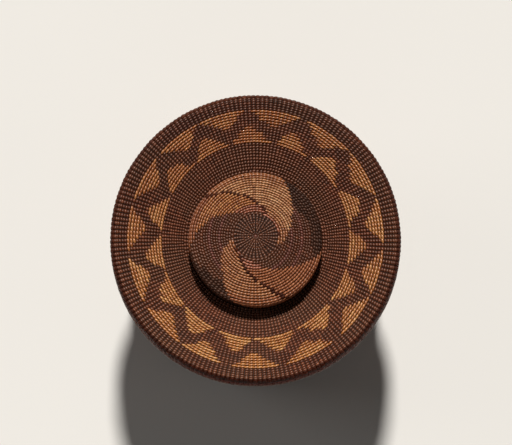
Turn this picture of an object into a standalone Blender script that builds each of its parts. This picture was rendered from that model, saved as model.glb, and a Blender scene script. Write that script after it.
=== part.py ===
"""A round twined basket with a slip-on rattle-top lid.

The basket stands on its foot ring at Z = 0 with its axis on Z. Every size is in
metres. The lid slips over the mouth and lifts straight up, and the pebbles in
its hollow knob roll round the axis.
"""

import math

import bmesh
import bpy
from mathutils import Vector

# Facets round the axis
ROUND_STEPS = 60
HALF_TURN_DEG = 180
SHARP_ANGLE_DEG = 40
ARC_STEPS = 4
BASE_STEPS = 2
BODY_STEPS = 5
DISH_STEPS = 4

# Clearances
JOIN_GAP = 0.0003
LID_SIDE_GAP = 0.0016

# Basket body
BASKET_HEIGHT = 0.0986
MOUTH_RADIUS = 0.0720
SIDE_TAPER = 0.0065
CORNER_ROUNDING = 0.0070
CORNER_START_DEG = -80
CORNER_INSIDE_START_DEG = -75
WALL_THICKNESS = 0.0021
BELLY_SWELL = 0.0010
BASE_THICKNESS = 0.0020
BASE_PUSH_UP = 0.0025
FOOT_WIDTH = 0.0034
FOOT_HEIGHT = 0.0024
RIM_BRAID_WIDTH = 0.0030
RIM_BRAID_HEIGHT = 0.0024
BRAID_BEND_SHARE = 0.25

# Lid
LID_THICKNESS = 0.0020
SHOULDER_ROUNDING = 0.0031
SKIRT_DROP = 0.0172
DISH_DEPTH = 0.0080
DISH_STRAIGHT_SHARE = 0.75
LID_BRAID_WIDTH = 0.0024
LID_BRAID_HEIGHT = 0.0026

# Knob
KNOB_RADIUS = 0.0344
KNOB_RISE = 0.0046
KNOB_DOME = 0.0020
KNOB_BROW = 0.0030
KNOB_THICKNESS = 0.0018
FLOOR_THICKNESS = 0.0016
DOME_RADIUS_SHARES = (0, 0.35, 0.7, 1)

# Golden overlay: shares are of the way from the knob to the shoulder
OVERLAY_THICKNESS = 0.0004
TRIANGLE_COUNT = 15
OUTER_BASE_SHARE = 0.853
OUTER_APEX_SHARE = 0.650
INNER_APEX_SHARE = 0.613
INNER_BASE_SHARE = 0.417
TRIANGLE_APEX_WIDTH = 0.0016
TRIANGLE_PITCH_SHARE = 0.86
FIRST_OUTER_TRIANGLE_DEG = 79.1
TRIANGLE_ROWS = 2
TRIANGLE_COLUMNS = 3

# Swirl: shares are of the knob's radius inside its brow, and each arm is given
# by its sides' angles at its outer end, anticlockwise from +X
SWIRL_INNER_SHARE = 0.376
SWIRL_OUTER_SHARE = 0.994
SWIRL_TURN_DEG = -84.0
SWIRL_ARMS_DEG = ((66.0, 129.0), (141.0, 184.0), (249.0, 291.0), (300.0, 342.0))
SWIRL_ROWS = 7
SWIRL_COLUMNS = 3

# Pebbles in the knob: their ring is a share of the knob's inside
PEBBLE_COUNT = 5
PEBBLE_RADIUS = 0.0017
PEBBLE_RING_SHARE = 0.57
PEBBLE_SPREAD_SHARE = 0.35
PEBBLE_UNEVENNESS = 3
PEBBLE_PHASE = 1
PEBBLE_FLAT_SHARE = 0.82

# Basket heights and radii that follow from these
MOUTH_TOP = BASKET_HEIGHT
CORNER_TOP_RADIUS = MOUTH_RADIUS - SIDE_TAPER
BASE_RADIUS = CORNER_TOP_RADIUS - CORNER_ROUNDING
BASE_LEVEL = FOOT_HEIGHT + JOIN_GAP
CORNER_TOP = BASE_LEVEL + CORNER_ROUNDING
CORNER_INSIDE = max(CORNER_ROUNDING - WALL_THICKNESS, JOIN_GAP)
WALL_TOP = MOUTH_TOP - RIM_BRAID_HEIGHT - JOIN_GAP
WALL_TOP_RADIUS = MOUTH_RADIUS - (RIM_BRAID_WIDTH - WALL_THICKNESS) / 2
RIM_BRAID_BEND = RIM_BRAID_WIDTH * BRAID_BEND_SHARE


def wall_radius(height):
    """Outer radius of the basket's side, which widens and swells a little."""
    rise = (height - CORNER_TOP) / (WALL_TOP - CORNER_TOP)
    swell = BELLY_SWELL * 4 * rise * (1 - rise)
    return CORNER_TOP_RADIUS + (WALL_TOP_RADIUS - CORNER_TOP_RADIUS) * rise + swell


# Lid radii that follow from the widest place that the skirt slips over
WIDEST_IN_LID = max(MOUTH_RADIUS, wall_radius(MOUTH_TOP - SKIRT_DROP))
SKIRT_INNER_RADIUS = WIDEST_IN_LID + LID_SIDE_GAP
SKIRT_OUTER_RADIUS = SKIRT_INNER_RADIUS + LID_THICKNESS
BRIM_FLAT_RADIUS = SKIRT_OUTER_RADIUS - SHOULDER_ROUNDING
SHOULDER_INSIDE = max(SHOULDER_ROUNDING - LID_THICKNESS, JOIN_GAP)
KNOB_INNER_RADIUS = KNOB_RADIUS - KNOB_THICKNESS
BROW_RADIUS = KNOB_RADIUS - KNOB_BROW
BROW_INSIDE = max(KNOB_BROW - KNOB_THICKNESS, JOIN_GAP)


def shoulder_fall(radius):
    """How far the shoulder's inside has fallen at a radius."""
    reach = radius - (SKIRT_INNER_RADIUS - SHOULDER_INSIDE)
    if reach <= 0:
        return 0
    return SHOULDER_INSIDE - math.sqrt(max(SHOULDER_INSIDE**2 - reach**2, 0))


def dish_slack(radius):
    """Share of the way from the shoulder to the knob at a radius."""
    return max((BRIM_FLAT_RADIUS - radius) / (BRIM_FLAT_RADIUS - KNOB_RADIUS), 0)


def dish_fall(slack):
    """How far the dish has fallen at a share of the way in to the knob."""
    return DISH_DEPTH * (DISH_STRAIGHT_SHARE * slack + (1 - DISH_STRAIGHT_SHARE) * slack**2)


# Lid heights: the lid rests on the basket's braid, by its shoulder or by the dish
BRAID_HEAD_INNER = MOUTH_RADIUS - RIM_BRAID_WIDTH + RIM_BRAID_BEND
SEAT_AT_DISH = dish_slack(BRAID_HEAD_INNER) * DISH_STEPS * dish_fall(1 / DISH_STEPS)
SEAT_AT_HEAD = shoulder_fall(MOUTH_RADIUS - RIM_BRAID_BEND)
SEAT_AT_SIDE = shoulder_fall(MOUTH_RADIUS) - RIM_BRAID_HEIGHT / 2
SEAT = max(SEAT_AT_DISH, SEAT_AT_HEAD, SEAT_AT_SIDE)
CREST = MOUTH_TOP + JOIN_GAP + LID_THICKNESS + SEAT
BRIM_LOW = CREST - max(SHOULDER_ROUNDING, LID_THICKNESS + SHOULDER_INSIDE)
RIM_LEVEL = CREST - SKIRT_DROP
JUNCTION = CREST - DISH_DEPTH
KNOB_CENTRE_TOP = CREST + KNOB_RISE
KNOB_WALL_TOP = KNOB_CENTRE_TOP - KNOB_DOME - max(KNOB_BROW, KNOB_THICKNESS + BROW_INSIDE)


def clear_scene():
    for old in list(bpy.data.objects):
        bpy.data.objects.remove(old, do_unlink=True)


def make_material(name, colour, roughness):
    made = bpy.data.materials.new(name)
    made.use_nodes = True
    shader = made.node_tree.nodes["Principled BSDF"]
    shader.inputs["Base Color"].default_value = (*colour, 1.0)
    shader.inputs["Roughness"].default_value = roughness
    shader.inputs["Metallic"].default_value = 0.0
    return made


def add_object(name, mesh_data, material, parent):
    made = bpy.data.objects.new(name, mesh_data)
    mesh_data.materials.append(material)
    bpy.context.scene.collection.objects.link(made)
    made.parent = parent
    mesh_data.shade_smooth()
    mesh_data.set_sharp_from_angle(angle=math.radians(SHARP_ANGLE_DEG))
    return made


def add_empty(name):
    made = bpy.data.objects.new(name, None)
    bpy.context.scene.collection.objects.link(made)
    return made


def finish_mesh(shape, name):
    bmesh.ops.recalc_face_normals(shape, faces=shape.faces)
    made = bpy.data.meshes.new(name)
    shape.to_mesh(made)
    shape.free()
    return made


def turn_profile(name, profile, material, parent):
    """A solid turned round Z from a closed (radius, height) outline."""
    shape = bmesh.new()
    corners = [shape.verts.new((radius, 0, height)) for radius, height in profile]
    closed = min(radius for radius, height in profile) > 0
    pairs = list(zip(corners, corners[1:]))
    if closed:
        pairs.append((corners[-1], corners[0]))
    edges = [shape.edges.new(pair) for pair in pairs]
    bmesh.ops.spin(
        shape,
        geom=corners + edges,
        axis=(0, 0, 1),
        cent=(0, 0, 0),
        angle=2 * math.pi,
        steps=ROUND_STEPS,
        use_merge=True,
    )
    bmesh.ops.remove_doubles(shape, verts=shape.verts, dist=JOIN_GAP / 1000)
    return add_object(name, finish_mesh(shape, name), material, parent)


def arc(centre, radius, start_deg, end_deg, steps=ARC_STEPS):
    """Points on an arc in the (radius, height) plane."""
    points = []
    for step in range(steps + 1):
        angle = math.radians(start_deg + (end_deg - start_deg) * step / steps)
        across = centre[0] + radius * math.cos(angle)
        points.append((across, centre[1] + radius * math.sin(angle)))
    return points


def cord_profile(inner, outer, low, high):
    """A cord's section: a flat foot and head, and rounded sides."""
    middle = (low + high) / 2
    bend = (outer - inner) * BRAID_BEND_SHARE
    return [
        (inner, middle),
        (inner + bend, low),
        (outer - bend, low),
        (outer, middle),
        (outer - bend, high),
        (inner + bend, high),
    ]


def tube_profile(inner, outer, low, high):
    return [(outer, high), (outer, low), (inner, low), (inner, high)]


def brim_radius(share):
    """Radius at a share of the way from the knob to the shoulder."""
    return KNOB_RADIUS + (BRIM_FLAT_RADIUS - KNOB_RADIUS) * share


def brim_height(radius):
    """Height of the brim's upper face: a dish that rises from the knob to the crest."""
    return CREST - dish_fall(min(dish_slack(radius), 1))


def knob_height(radius):
    """Height of the knob's domed upper face inside its brow."""
    return KNOB_CENTRE_TOP - KNOB_DOME * (radius / BROW_RADIUS) ** 2


def base_rise(radius):
    """How far the bottom is pushed up at a radius."""
    return BASE_PUSH_UP * (1 - (radius / (BASE_RADIUS - FOOT_WIDTH)) ** 2)


def make_basket_base(material, parent):
    lower = []
    for step in range(BASE_STEPS + 1):
        radius = (BASE_RADIUS - FOOT_WIDTH) * step / BASE_STEPS
        lower.append((radius, BASE_LEVEL + base_rise(radius)))
    lower.append((BASE_RADIUS, BASE_LEVEL))
    upper = [(radius, height + BASE_THICKNESS) for radius, height in lower]
    return turn_profile("basket_base", lower + upper[::-1], material, parent)


def make_foot_ring(material, parent):
    outer = BASE_RADIUS + JOIN_GAP
    profile = cord_profile(outer - FOOT_WIDTH, outer, 0, FOOT_HEIGHT)
    return turn_profile("basket_foot_ring", profile, material, parent)


def make_basket_wall(material, parent):
    start = BASE_RADIUS + JOIN_GAP
    centre = (BASE_RADIUS, CORNER_TOP)
    outer = [(start, BASE_LEVEL)] + arc(centre, CORNER_ROUNDING, CORNER_START_DEG, 0)
    inner_centre = (CORNER_TOP_RADIUS - WALL_THICKNESS - CORNER_INSIDE, CORNER_TOP)
    inner = [(start, BASE_LEVEL + WALL_THICKNESS)]
    inner += arc(inner_centre, CORNER_INSIDE, CORNER_INSIDE_START_DEG, 0)
    for step in range(1, BODY_STEPS + 1):
        height = CORNER_TOP + (WALL_TOP - CORNER_TOP) * step / BODY_STEPS
        outer.append((wall_radius(height), height))
        inner.append((wall_radius(height) - WALL_THICKNESS, height))
    return turn_profile("basket_wall", outer + inner[::-1], material, parent)


def make_basket_rim_braid(material, parent):
    inner = MOUTH_RADIUS - RIM_BRAID_WIDTH
    low = MOUTH_TOP - RIM_BRAID_HEIGHT
    profile = cord_profile(inner, MOUTH_RADIUS, low, MOUTH_TOP)
    return turn_profile("basket_rim_braid", profile, material, parent)


def make_lid_brim(material, parent):
    upper = [(KNOB_INNER_RADIUS, JUNCTION)]
    for step in range(DISH_STEPS + 1):
        radius = brim_radius(step / DISH_STEPS)
        upper.append((radius, brim_height(radius)))
    lower = [(radius, height - LID_THICKNESS) for radius, height in upper]
    centre = (BRIM_FLAT_RADIUS, CREST - SHOULDER_ROUNDING)
    upper += arc(centre, SHOULDER_ROUNDING, 90, 0)[1:]
    upper.append((SKIRT_OUTER_RADIUS, BRIM_LOW))
    inside = CREST - LID_THICKNESS - SHOULDER_INSIDE
    centre = (SKIRT_INNER_RADIUS - SHOULDER_INSIDE, inside)
    lower += arc(centre, SHOULDER_INSIDE, 90, 0, ARC_STEPS - 1)
    lower.append((SKIRT_INNER_RADIUS, BRIM_LOW))
    return turn_profile("lid_brim", upper + lower[::-1], material, parent)


def make_lid_skirt(material, parent):
    top = BRIM_LOW - JOIN_GAP
    low = RIM_LEVEL + LID_BRAID_HEIGHT + JOIN_GAP
    profile = tube_profile(SKIRT_INNER_RADIUS, SKIRT_OUTER_RADIUS, low, top)
    return turn_profile("lid_skirt", profile, material, parent)


def make_lid_rim_braid(material, parent):
    outer = SKIRT_INNER_RADIUS + LID_BRAID_WIDTH
    high = RIM_LEVEL + LID_BRAID_HEIGHT
    profile = cord_profile(SKIRT_INNER_RADIUS, outer, RIM_LEVEL, high)
    return turn_profile("lid_rim_braid", profile, material, parent)


def make_knob_wall(material, parent):
    low = JUNCTION + JOIN_GAP
    top = KNOB_WALL_TOP - JOIN_GAP
    profile = tube_profile(KNOB_INNER_RADIUS, KNOB_RADIUS, low, top)
    return turn_profile("lid_knob_wall", profile, material, parent)


def make_knob_top(material, parent):
    edge = KNOB_CENTRE_TOP - KNOB_DOME
    upper = [(BROW_RADIUS * s, knob_height(BROW_RADIUS * s)) for s in DOME_RADIUS_SHARES]
    upper += arc((BROW_RADIUS, edge - KNOB_BROW), KNOB_BROW, 90, 0)[1:]
    upper.append((KNOB_RADIUS, KNOB_WALL_TOP))
    inner_brow = KNOB_INNER_RADIUS - BROW_INSIDE
    lower = []
    for share in DOME_RADIUS_SHARES:
        height = KNOB_CENTRE_TOP - KNOB_THICKNESS - KNOB_DOME * share**2
        lower.append((inner_brow * share, height))
    inside = edge - KNOB_THICKNESS - BROW_INSIDE
    lower += arc((inner_brow, inside), BROW_INSIDE, 90, 0, ARC_STEPS - 2)[1:]
    lower.append((KNOB_INNER_RADIUS, KNOB_WALL_TOP))
    return turn_profile("lid_knob_top", upper + lower[::-1], material, parent)


def make_knob_floor(material, parent):
    edge = KNOB_INNER_RADIUS - JOIN_GAP
    low = JUNCTION - LID_THICKNESS
    high = low + FLOOR_THICKNESS
    profile = [(0, high), (edge, high), (edge, low), (0, low)]
    return turn_profile("lid_knob_floor", profile, material, parent)


def add_sheet(name, grid, normals, material, parent):
    """A closed thin sheet from a grid of points, thickened along their normals."""
    shape = bmesh.new()
    sides = []
    for lift in (JOIN_GAP, JOIN_GAP + OVERLAY_THICKNESS):
        rows = zip(grid, normals)
        sides.append([[shape.verts.new(p + n * lift) for p, n in zip(*row)] for row in rows])
    low, high = sides
    last_row = len(grid) - 1
    last_column = len(grid[0]) - 1
    for i in range(last_row):
        for j in range(last_column):
            for side in sides:
                near = side[i]
                far = side[i + 1]
                shape.faces.new((near[j], near[j + 1], far[j + 1], far[j]))
    for i in range(last_row):
        for j in (0, last_column):
            shape.faces.new((low[i][j], low[i + 1][j], high[i + 1][j], high[i][j]))
    for j in range(last_column):
        for i in (0, last_row):
            shape.faces.new((low[i][j], low[i][j + 1], high[i][j + 1], high[i][j]))
    return add_object(name, finish_mesh(shape, name), material, parent)


def polar(radius, angle, height):
    return Vector((radius * math.cos(angle), radius * math.sin(angle), height))


def spread_angles(start, end, steps):
    return [start + (end - start) * step / steps for step in range(steps + 1)]


def slope_normal(height_at, radius, angle):
    """Upward normal of a turned face whose height is height_at(radius)."""
    step = JOIN_GAP
    fall = (height_at(radius + step) - height_at(radius - step)) / (2 * step)
    return polar(-fall, angle, 1).normalized()


def make_brim_triangles(name, base_share, apex_share, turn_deg, material, parent):
    """Triangles on the brim, each from a wide base to a narrow apex."""
    base = brim_radius(base_share)
    apex = brim_radius(apex_share)
    pitch = 2 * math.pi / TRIANGLE_COUNT
    for index in range(TRIANGLE_COUNT):
        middle = math.radians(turn_deg) + pitch * index
        grid = []
        normals = []
        for i in range(TRIANGLE_ROWS + 1):
            radius = base + (apex - base) * i / TRIANGLE_ROWS
            narrow = TRIANGLE_APEX_WIDTH / radius / 2
            half = pitch * TRIANGLE_PITCH_SHARE / 2
            half += (narrow - half) * i / TRIANGLE_ROWS
            angles = spread_angles(middle - half, middle + half, TRIANGLE_COLUMNS)
            grid.append([polar(radius, a, brim_height(radius)) for a in angles])
            normals.append([slope_normal(brim_height, radius, a) for a in angles])
        add_sheet(f"{name}_{index + 1:02d}", grid, normals, material, parent)


def make_knob_swirl(material, parent):
    """The swirl's light arms, which turn clockwise as they run inwards."""
    for index, (start_deg, end_deg) in enumerate(SWIRL_ARMS_DEG):
        grid = []
        normals = []
        for i in range(SWIRL_ROWS + 1):
            inward = i / SWIRL_ROWS
            share = SWIRL_OUTER_SHARE + (SWIRL_INNER_SHARE - SWIRL_OUTER_SHARE) * inward
            radius = BROW_RADIUS * share
            start = math.radians(start_deg + SWIRL_TURN_DEG * inward)
            end = math.radians(end_deg + SWIRL_TURN_DEG * inward)
            angles = spread_angles(start, end, SWIRL_COLUMNS)
            grid.append([polar(radius, a, knob_height(radius)) for a in angles])
            normals.append([slope_normal(knob_height, radius, a) for a in angles])
        add_sheet(f"lid_knob_swirl_{index + 1}", grid, normals, material, parent)


def make_pebbles(material, parent):
    """Pebbles lying on the knob's floor, at uneven distances from the axis."""
    floor = JUNCTION - LID_THICKNESS + FLOOR_THICKNESS
    height = floor + JOIN_GAP + PEBBLE_RADIUS * PEBBLE_FLAT_SHARE
    ring = (KNOB_INNER_RADIUS - PEBBLE_RADIUS) * PEBBLE_RING_SHARE
    for index in range(PEBBLE_COUNT):
        angle = 2 * math.pi * index / PEBBLE_COUNT
        spread = PEBBLE_SPREAD_SHARE * math.sin(PEBBLE_UNEVENNESS * angle + PEBBLE_PHASE)
        centre = polar(ring * (1 + spread), angle, height)
        shape = bmesh.new()
        bmesh.ops.create_icosphere(shape, subdivisions=2, radius=PEBBLE_RADIUS)
        bmesh.ops.scale(shape, vec=(1, 1, PEBBLE_FLAT_SHARE), verts=shape.verts)
        bmesh.ops.translate(shape, vec=centre, verts=shape.verts)
        name = f"rattle_pebble_{index + 1}"
        add_object(name, finish_mesh(shape, name), material, parent)


def main():
    clear_scene()
    dark_weft = make_material("dark_weft", (0.082, 0.038, 0.026), 0.42)
    red_braid = make_material("red_brown_braid", (0.120, 0.046, 0.026), 0.5)
    golden_grass = make_material("golden_grass", (0.56, 0.27, 0.09), 0.4)
    grey_stone = make_material("grey_stone", (0.22, 0.21, 0.19), 0.7)

    basket = add_empty("basket_body")
    lid = add_empty("lid_body")
    stones = add_empty("stones_body")
    stones.parent = lid

    make_basket_base(dark_weft, basket)
    make_foot_ring(red_braid, basket)
    make_basket_wall(dark_weft, basket)
    make_basket_rim_braid(red_braid, basket)

    make_lid_brim(dark_weft, lid)
    make_lid_skirt(dark_weft, lid)
    make_lid_rim_braid(red_braid, lid)
    outer = (OUTER_BASE_SHARE, OUTER_APEX_SHARE, FIRST_OUTER_TRIANGLE_DEG)
    inner_turn = FIRST_OUTER_TRIANGLE_DEG + HALF_TURN_DEG / TRIANGLE_COUNT
    inner = (INNER_BASE_SHARE, INNER_APEX_SHARE, inner_turn)
    make_brim_triangles("lid_outer_triangle", *outer, golden_grass, lid)
    make_brim_triangles("lid_inner_triangle", *inner, golden_grass, lid)
    make_knob_wall(dark_weft, lid)
    make_knob_top(dark_weft, lid)
    make_knob_swirl(golden_grass, lid)
    make_knob_floor(dark_weft, lid)
    make_pebbles(grey_stone, stones)


main()
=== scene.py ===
import math
import random
import time

import bmesh
import bpy
from mathutils import Matrix, Vector, noise


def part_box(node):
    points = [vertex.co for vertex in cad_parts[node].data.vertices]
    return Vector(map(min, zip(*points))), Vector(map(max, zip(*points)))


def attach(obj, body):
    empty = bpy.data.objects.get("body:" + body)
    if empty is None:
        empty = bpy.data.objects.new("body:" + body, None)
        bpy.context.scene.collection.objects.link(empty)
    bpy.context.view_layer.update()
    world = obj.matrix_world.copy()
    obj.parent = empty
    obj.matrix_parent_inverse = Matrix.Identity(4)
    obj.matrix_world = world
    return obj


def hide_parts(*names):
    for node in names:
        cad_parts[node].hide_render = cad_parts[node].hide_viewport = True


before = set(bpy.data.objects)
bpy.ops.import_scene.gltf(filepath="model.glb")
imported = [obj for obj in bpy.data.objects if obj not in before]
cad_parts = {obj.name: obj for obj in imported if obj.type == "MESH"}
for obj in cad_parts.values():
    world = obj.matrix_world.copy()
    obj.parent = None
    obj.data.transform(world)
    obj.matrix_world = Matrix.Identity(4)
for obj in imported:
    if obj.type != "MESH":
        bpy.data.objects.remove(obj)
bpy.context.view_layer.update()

mm = 0.001
repeats = 15             # triangles round the lid in each ring
rimWarps = 195           # warps at the lid's edge and in the basket's side, thirteen to a triangle
started = time.time()


def report(stage):
    print(f"basket: {time.time() - started:.0f} s {stage}")


# Sizes of the frame

def nodeSize(name):
    low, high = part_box(name)
    return {"low": low.z, "high": high.z, "radius": high.x}


brimNode = nodeSize("lid_brim")
lidBraidNode = nodeSize("lid_rim_braid")
knobWallNode = nodeSize("lid_knob_wall")
knobTopNode = nodeSize("lid_knob_top")
knobFloorNode = nodeSize("lid_knob_floor")
wallNode = nodeSize("basket_wall")
rimBraidNode = nodeSize("basket_rim_braid")
footNode = nodeSize("basket_foot_ring")
baseNode = nodeSize("basket_base")

joinGap = 0.3 * mm                                     # left between solids in the frame
crest = brimNode["high"]
junction = knobWallNode["low"] - joinGap               # where the dish meets the knob
knobRadius = knobWallNode["radius"]
lidRadius = brimNode["radius"]


# Outlines are lists of (radius, height)

outlineSteps = {"arc": 24, "oval": 48, "slope": 40}


def ovalLine(centre, across, up, startDeg, endDeg, steps=outlineSteps["oval"]):
    points = []
    for step in range(steps + 1):
        angle = math.radians(startDeg + (endDeg - startDeg) * step / steps)
        points.append((centre[0] + across * math.cos(angle), centre[1] + up * math.sin(angle)))
    return points


def arcLine(centre, radius, startDeg, endDeg, steps=outlineSteps["arc"]):
    return ovalLine(centre, radius, radius, startDeg, endDeg, steps)


def slopeLine(heightAt, start, end, steps=outlineSteps["slope"]):
    spread = [start + (end - start) * step / steps for step in range(steps + 1)]
    return [(radius, heightAt(radius)) for radius in spread]


def stationsOn(points, rows):
    # the middle of each weft row: (point, direction along the outline, row pitch)
    lengths = [0.0]
    for near, far in zip(points, points[1:]):
        lengths.append(lengths[-1] + math.dist(near, far))
    pitch = lengths[-1] / rows
    stations = []
    segment = 0
    for row in range(rows):
        at = pitch * (row + 0.5)
        while lengths[segment + 1] < at:
            segment += 1
        near, far = Vector(points[segment]), Vector(points[segment + 1])
        share = (at - lengths[segment]) / (lengths[segment + 1] - lengths[segment])
        stations.append((near.lerp(far, share), (far - near).normalized(), pitch))
    return stations


def lineLength(points):
    return sum(math.dist(near, far) for near, far in zip(points, points[1:]))


def inset(points, depth):
    # the outline moved inwards, square to itself
    moved = []
    for index, point in enumerate(points):
        near = Vector(points[max(index - 1, 0)])
        far = Vector(points[min(index + 1, len(points) - 1)])
        along = (far - near).normalized()
        moved.append((max(point[0] + along.y * depth, 0.0), point[1] - along.x * depth))
    return moved


# Stitches: a length is a share of the warp pitch, a width and a slant are shares of the row pitch.
# The ends dip by the bend, the whole strand stands out by the lift, and its front is broader by the
# flat. With a ridge, a corner of the strand's section faces outwards instead of a side

flatStrand = {"sides": 6, "rings": 4, "thick": 0.74 * mm, "ridge": False, "flat": 1.3, "toneSpread": 0.22}
roundStrand = {**flatStrand, "width": 1.20, "thick": 0.95 * mm, "ridge": True, "flat": 1.0}
stitches = {
    "weft": {**flatStrand, "length": 1.12, "width": 0.88, "thick": 0.76 * mm,
             "bend": 0.58 * mm, "slant": 0.14, "lift": -0.31 * mm, "flat": 1.45},
    "fine": {**flatStrand, "length": 1.20, "width": 0.88, "thick": 0.70 * mm,
             "bend": 0.34 * mm, "slant": 0.22, "lift": -0.27 * mm, "flat": 1.5},
    "line": {**flatStrand, "length": 1.85, "width": 1.00,
             "bend": 0.34 * mm, "slant": 0.10, "lift": -0.12 * mm},
    "rib": {**flatStrand, "length": 0.96, "width": 1.75,
            "bend": 0.52 * mm, "slant": 0.0, "lift": -0.34 * mm},
    "overlay": {**flatStrand, "length": 1.48, "width": 0.80, "thick": 0.76 * mm,
                "bend": 0.26 * mm, "slant": 0.20, "lift": -0.14 * mm, "flat": 1.15, "toneSpread": 0.3},
    "arm": {**flatStrand, "length": 1.42, "width": 0.80, "thick": 0.76 * mm,
            "bend": 0.24 * mm, "slant": 0.12, "lift": -0.15 * mm, "flat": 1.2, "toneSpread": 0.3},
    "inner": {**roundStrand, "sides": 5, "rings": 3, "length": 1.30, "thick": 0.62 * mm,
              "bend": 0.34 * mm, "slant": 0.22, "lift": -0.27 * mm},
    "plait": {**roundStrand, "length": 1.30, "bend": 0.30 * mm, "slant": 0.62, "lift": -0.36 * mm},
    "cord": {**roundStrand, "length": 1.34, "bend": 0.30 * mm, "slant": 0.50, "lift": -0.36 * mm},
}
weaveLook = {
    "wander": 0.16 * mm,        # how far rows and warps stray from true
    "wanderLength": 14 * mm,
    "wanderSeed": 5,            # noise_vector takes its offsets from the clock unless it is seeded
    "uneven": 0.04 * mm,        # from one stitch to the next
    "endFullness": 0.28,        # how much broader and thicker a strand is at its ends
    "frontFrom": 0.1,           # share of a strand's half thickness above which its front begins
    "rowTones": (0.35, 0.65),   # the tones of plain rows lie between these
}
noise.seed_set(weaveLook["wanderSeed"])


def newWeave():
    bm = bmesh.new()
    bm.loops.layers.uv.new("strand")
    bm.faces.layers.float.new("tone")
    return bm


def oneStitch(bm, station, warps, kind, slantSign):
    # a small sphere, drawn out along the strand and bent, and set on the outline at +Y
    point, along, pitch = station
    length = math.tau * point.x / warps * kind["length"]
    made = bmesh.ops.create_uvsphere(
        bm, u_segments=kind["sides"], v_segments=kind["rings"], radius=1, calc_uvs=True
    )["verts"]
    place = Matrix((
        (1, 0, 0, 0),
        (0, along.x, -along.y, point.x - along.y * kind["lift"]),
        (0, along.y, along.x, point.y + along.x * kind["lift"]),
        (0, 0, 0, 1),
    ))
    for vert in made:
        end = vert.co.z
        across, up = (vert.co.y, -vert.co.x) if kind["ridge"] else (vert.co.x, vert.co.y)
        if up > weaveLook["frontFrom"]:
            across *= kind["flat"]             # a broad front, so that rows close up
        fuller = 1 + weaveLook["endFullness"] * end * end
        local = Vector((
            end * length / 2,
            across * fuller * pitch * kind["width"] / 2 + end * pitch * kind["slant"] * slantSign,
            up * fuller * kind["thick"] / 2 - end * end * kind["bend"],
        ))
        vert.co = place @ local


def clockwise(turns):
    return -math.tau * turns


def copyRound(bm, step, copies):
    # everything so far, again at each step of the turn
    geom = bm.verts[:] + bm.edges[:] + bm.faces[:]
    bmesh.ops.spin(
        bm, geom=geom, cent=(0, 0, 0), axis=(0, 0, 1),
        angle=step * (copies - 1), steps=copies - 1, use_duplicate=True
    )


def evenSplit(count):
    # a full round is spun in two stages of few steps each
    return next(share for share in range(int(math.sqrt(count)), 0, -1) if count % share == 0)


def weaveRow(bm, station, warps, kindName, rng, first=0.0, count=None, slotIndex=0, tone=0.5, slantSign=1):
    # count stitches, or a full round, from the warp named first, clockwise from +Y
    kind = stitches[kindName]
    turns = 1
    if count is None:
        turns = evenSplit(warps)
        count = warps // turns
    row = newWeave()
    oneStitch(row, station, warps, kind, slantSign)
    turn = Matrix.Rotation(clockwise((first + 0.5) / warps), 4, "Z")
    bmesh.ops.transform(row, matrix=turn, verts=row.verts[:])
    if count > 1:
        copyRound(row, clockwise(1 / warps), count)
    if turns > 1:
        copyRound(row, clockwise(1 / turns), turns)
    vertsEach = kind["sides"] * (kind["rings"] - 1) + 2
    facesEach = kind["sides"] * kind["rings"]
    toneLayer = row.faces.layers.float["tone"]
    verts, faces = row.verts[:], row.faces[:]
    spread = weaveLook["uneven"]
    for number in range(count * turns):
        shift = Vector((rng.gauss(0, spread), rng.gauss(0, spread), rng.gauss(0, spread)))
        for vert in verts[number * vertsEach:(number + 1) * vertsEach]:
            vert.co += shift
        value = min(max(rng.gauss(tone, kind["toneSpread"]), 0.0), 1.0)
        for face in faces[number * facesEach:(number + 1) * facesEach]:
            face[toneLayer] = value
            face.material_index = slotIndex
    addTo(bm, row)


def plainRow(bm, station, warps, kindName, rng, slotIndex=0):
    weaveRow(bm, station, warps, kindName, rng, slotIndex=slotIndex, tone=rng.uniform(*weaveLook["rowTones"]))


def addTo(bm, part):
    # rows are made apart, which keeps each step small
    mesh = bpy.data.meshes.new("part")
    part.to_mesh(mesh)
    part.free()
    bm.from_mesh(mesh)
    bpy.data.meshes.remove(mesh)


def wander(point):
    # one slow field for the whole basket, so that neighbouring pieces stray together
    field = noise.noise_vector(point / weaveLook["wanderLength"])
    return point + field * weaveLook["wander"]


outOfRound = {
    "knob": 1.6 * mm,           # how far the knob bulges towards -Y
    "knobFlat": 0.7 * mm,       # how far its other side is drawn in
    "knobFades": 44 * mm,       # radius at which the bulge has died away
    "full": 50 * mm,            # radius at which the rings of triangles are drawn out most
    "edge": 82 * mm,            # and at which they would be round again
    "oval": 1.24 * mm,
    "aside": -0.57 * mm,        # how far the rings lie off centre, along Y
}


def drawOut(point):
    # the maker's rings are a little oval, and off centre
    radius = math.hypot(point.x, point.y)
    if not knobRadius < radius < outOfRound["edge"]:
        return point
    if radius < outOfRound["full"]:
        share = (radius - knobRadius) / (outOfRound["full"] - knobRadius)
    else:
        share = (outOfRound["edge"] - radius) / (outOfRound["edge"] - outOfRound["full"])
    share = 0.5 - 0.5 * math.cos(math.pi * share)
    cosine = point.y / radius
    reach = share * (outOfRound["oval"] * (2 * cosine * cosine - 1) + outOfRound["aside"] * cosine)
    grown = (radius + reach) / radius
    rise = dishHeight(min(radius + reach, flatRadius)) - dishHeight(min(radius, flatRadius))
    return Vector((point.x * grown, point.y * grown, point.z + rise))


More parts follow.
